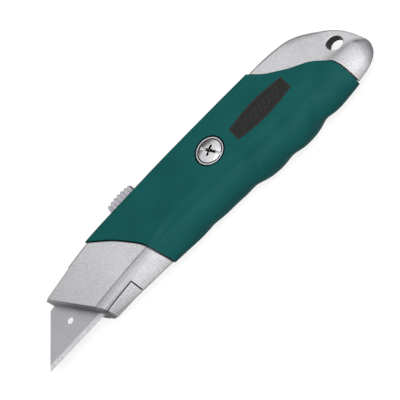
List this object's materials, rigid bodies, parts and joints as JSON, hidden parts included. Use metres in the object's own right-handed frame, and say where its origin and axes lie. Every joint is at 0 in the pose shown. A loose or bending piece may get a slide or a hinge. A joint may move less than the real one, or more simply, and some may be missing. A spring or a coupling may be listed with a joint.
{
  "type": "retractable utility knife",
  "caption": "Retractable utility knife with a two-half cast casing, rubber grip skins, sliding blade carrier, sprung thumb button and stored spare blades.",
  "frame": {"origin": "middle of the knife's box, on the surface that it lies on with its left side down", "axes": "+X from the blade's tip to the tail, +Y from the belly to the spine, +Z out of the right side"},
  "size_m": [0.1642, 0.0412, 0.017],
  "materials": {
    "casing": "die-cast zinc alloy, fine silver paint, satin",
    "grip": "moulded soft rubber, matt, dark teal green",
    "badge": "moulded insert, satin, dark grey",
    "screw": "nickel-plated steel, bright",
    "blade_steel": "hardened carbon steel, ground edge, lightly oiled",
    "carrier": "die-cast, as cast",
    "button": "die-cast zinc alloy, satin silver",
    "spring_steel": "stamped spring steel, blued",
    "pin_steel": "turned steel"
  },
  "bodies": {
    "casing": {"right_shell": "casing", "left_shell": "casing", "right_grip": "grip", "left_grip": "grip", "right_badge": "badge", "left_badge": "badge", "body_screw": "screw", "spare_blade_1": "blade_steel", "spare_blade_2": "blade_steel", "spare_blade_3": "blade_steel", "spare_blade_4": "blade_steel", "spare_blade_clip": "spring_steel", "clip_rivet": "pin_steel"},
    "carrier": {"blade_carrier": "carrier", "cutting_blade": "blade_steel", "button_spring": "spring_steel", "button_pin": "pin_steel", "detent_spring": "spring_steel", "detent_rivet": "pin_steel"},
    "button": {"thumb_button": "button"}
  },
  "joints": [
    {"name": "blade_slide", "type": "slide", "parent": "casing", "child": "carrier", "axis": [1, 0, 0], "range_m": [0, 0.032], "deforming": ["detent_spring"]},
    {"name": "button_press", "type": "slide", "parent": "carrier", "child": "button", "axis": [0, -1, 0], "range_m": [0, 0.0012], "stiffness_N_per_m": 1500, "springref_m": -0.0008, "deforming": ["button_spring"]}
  ]
}
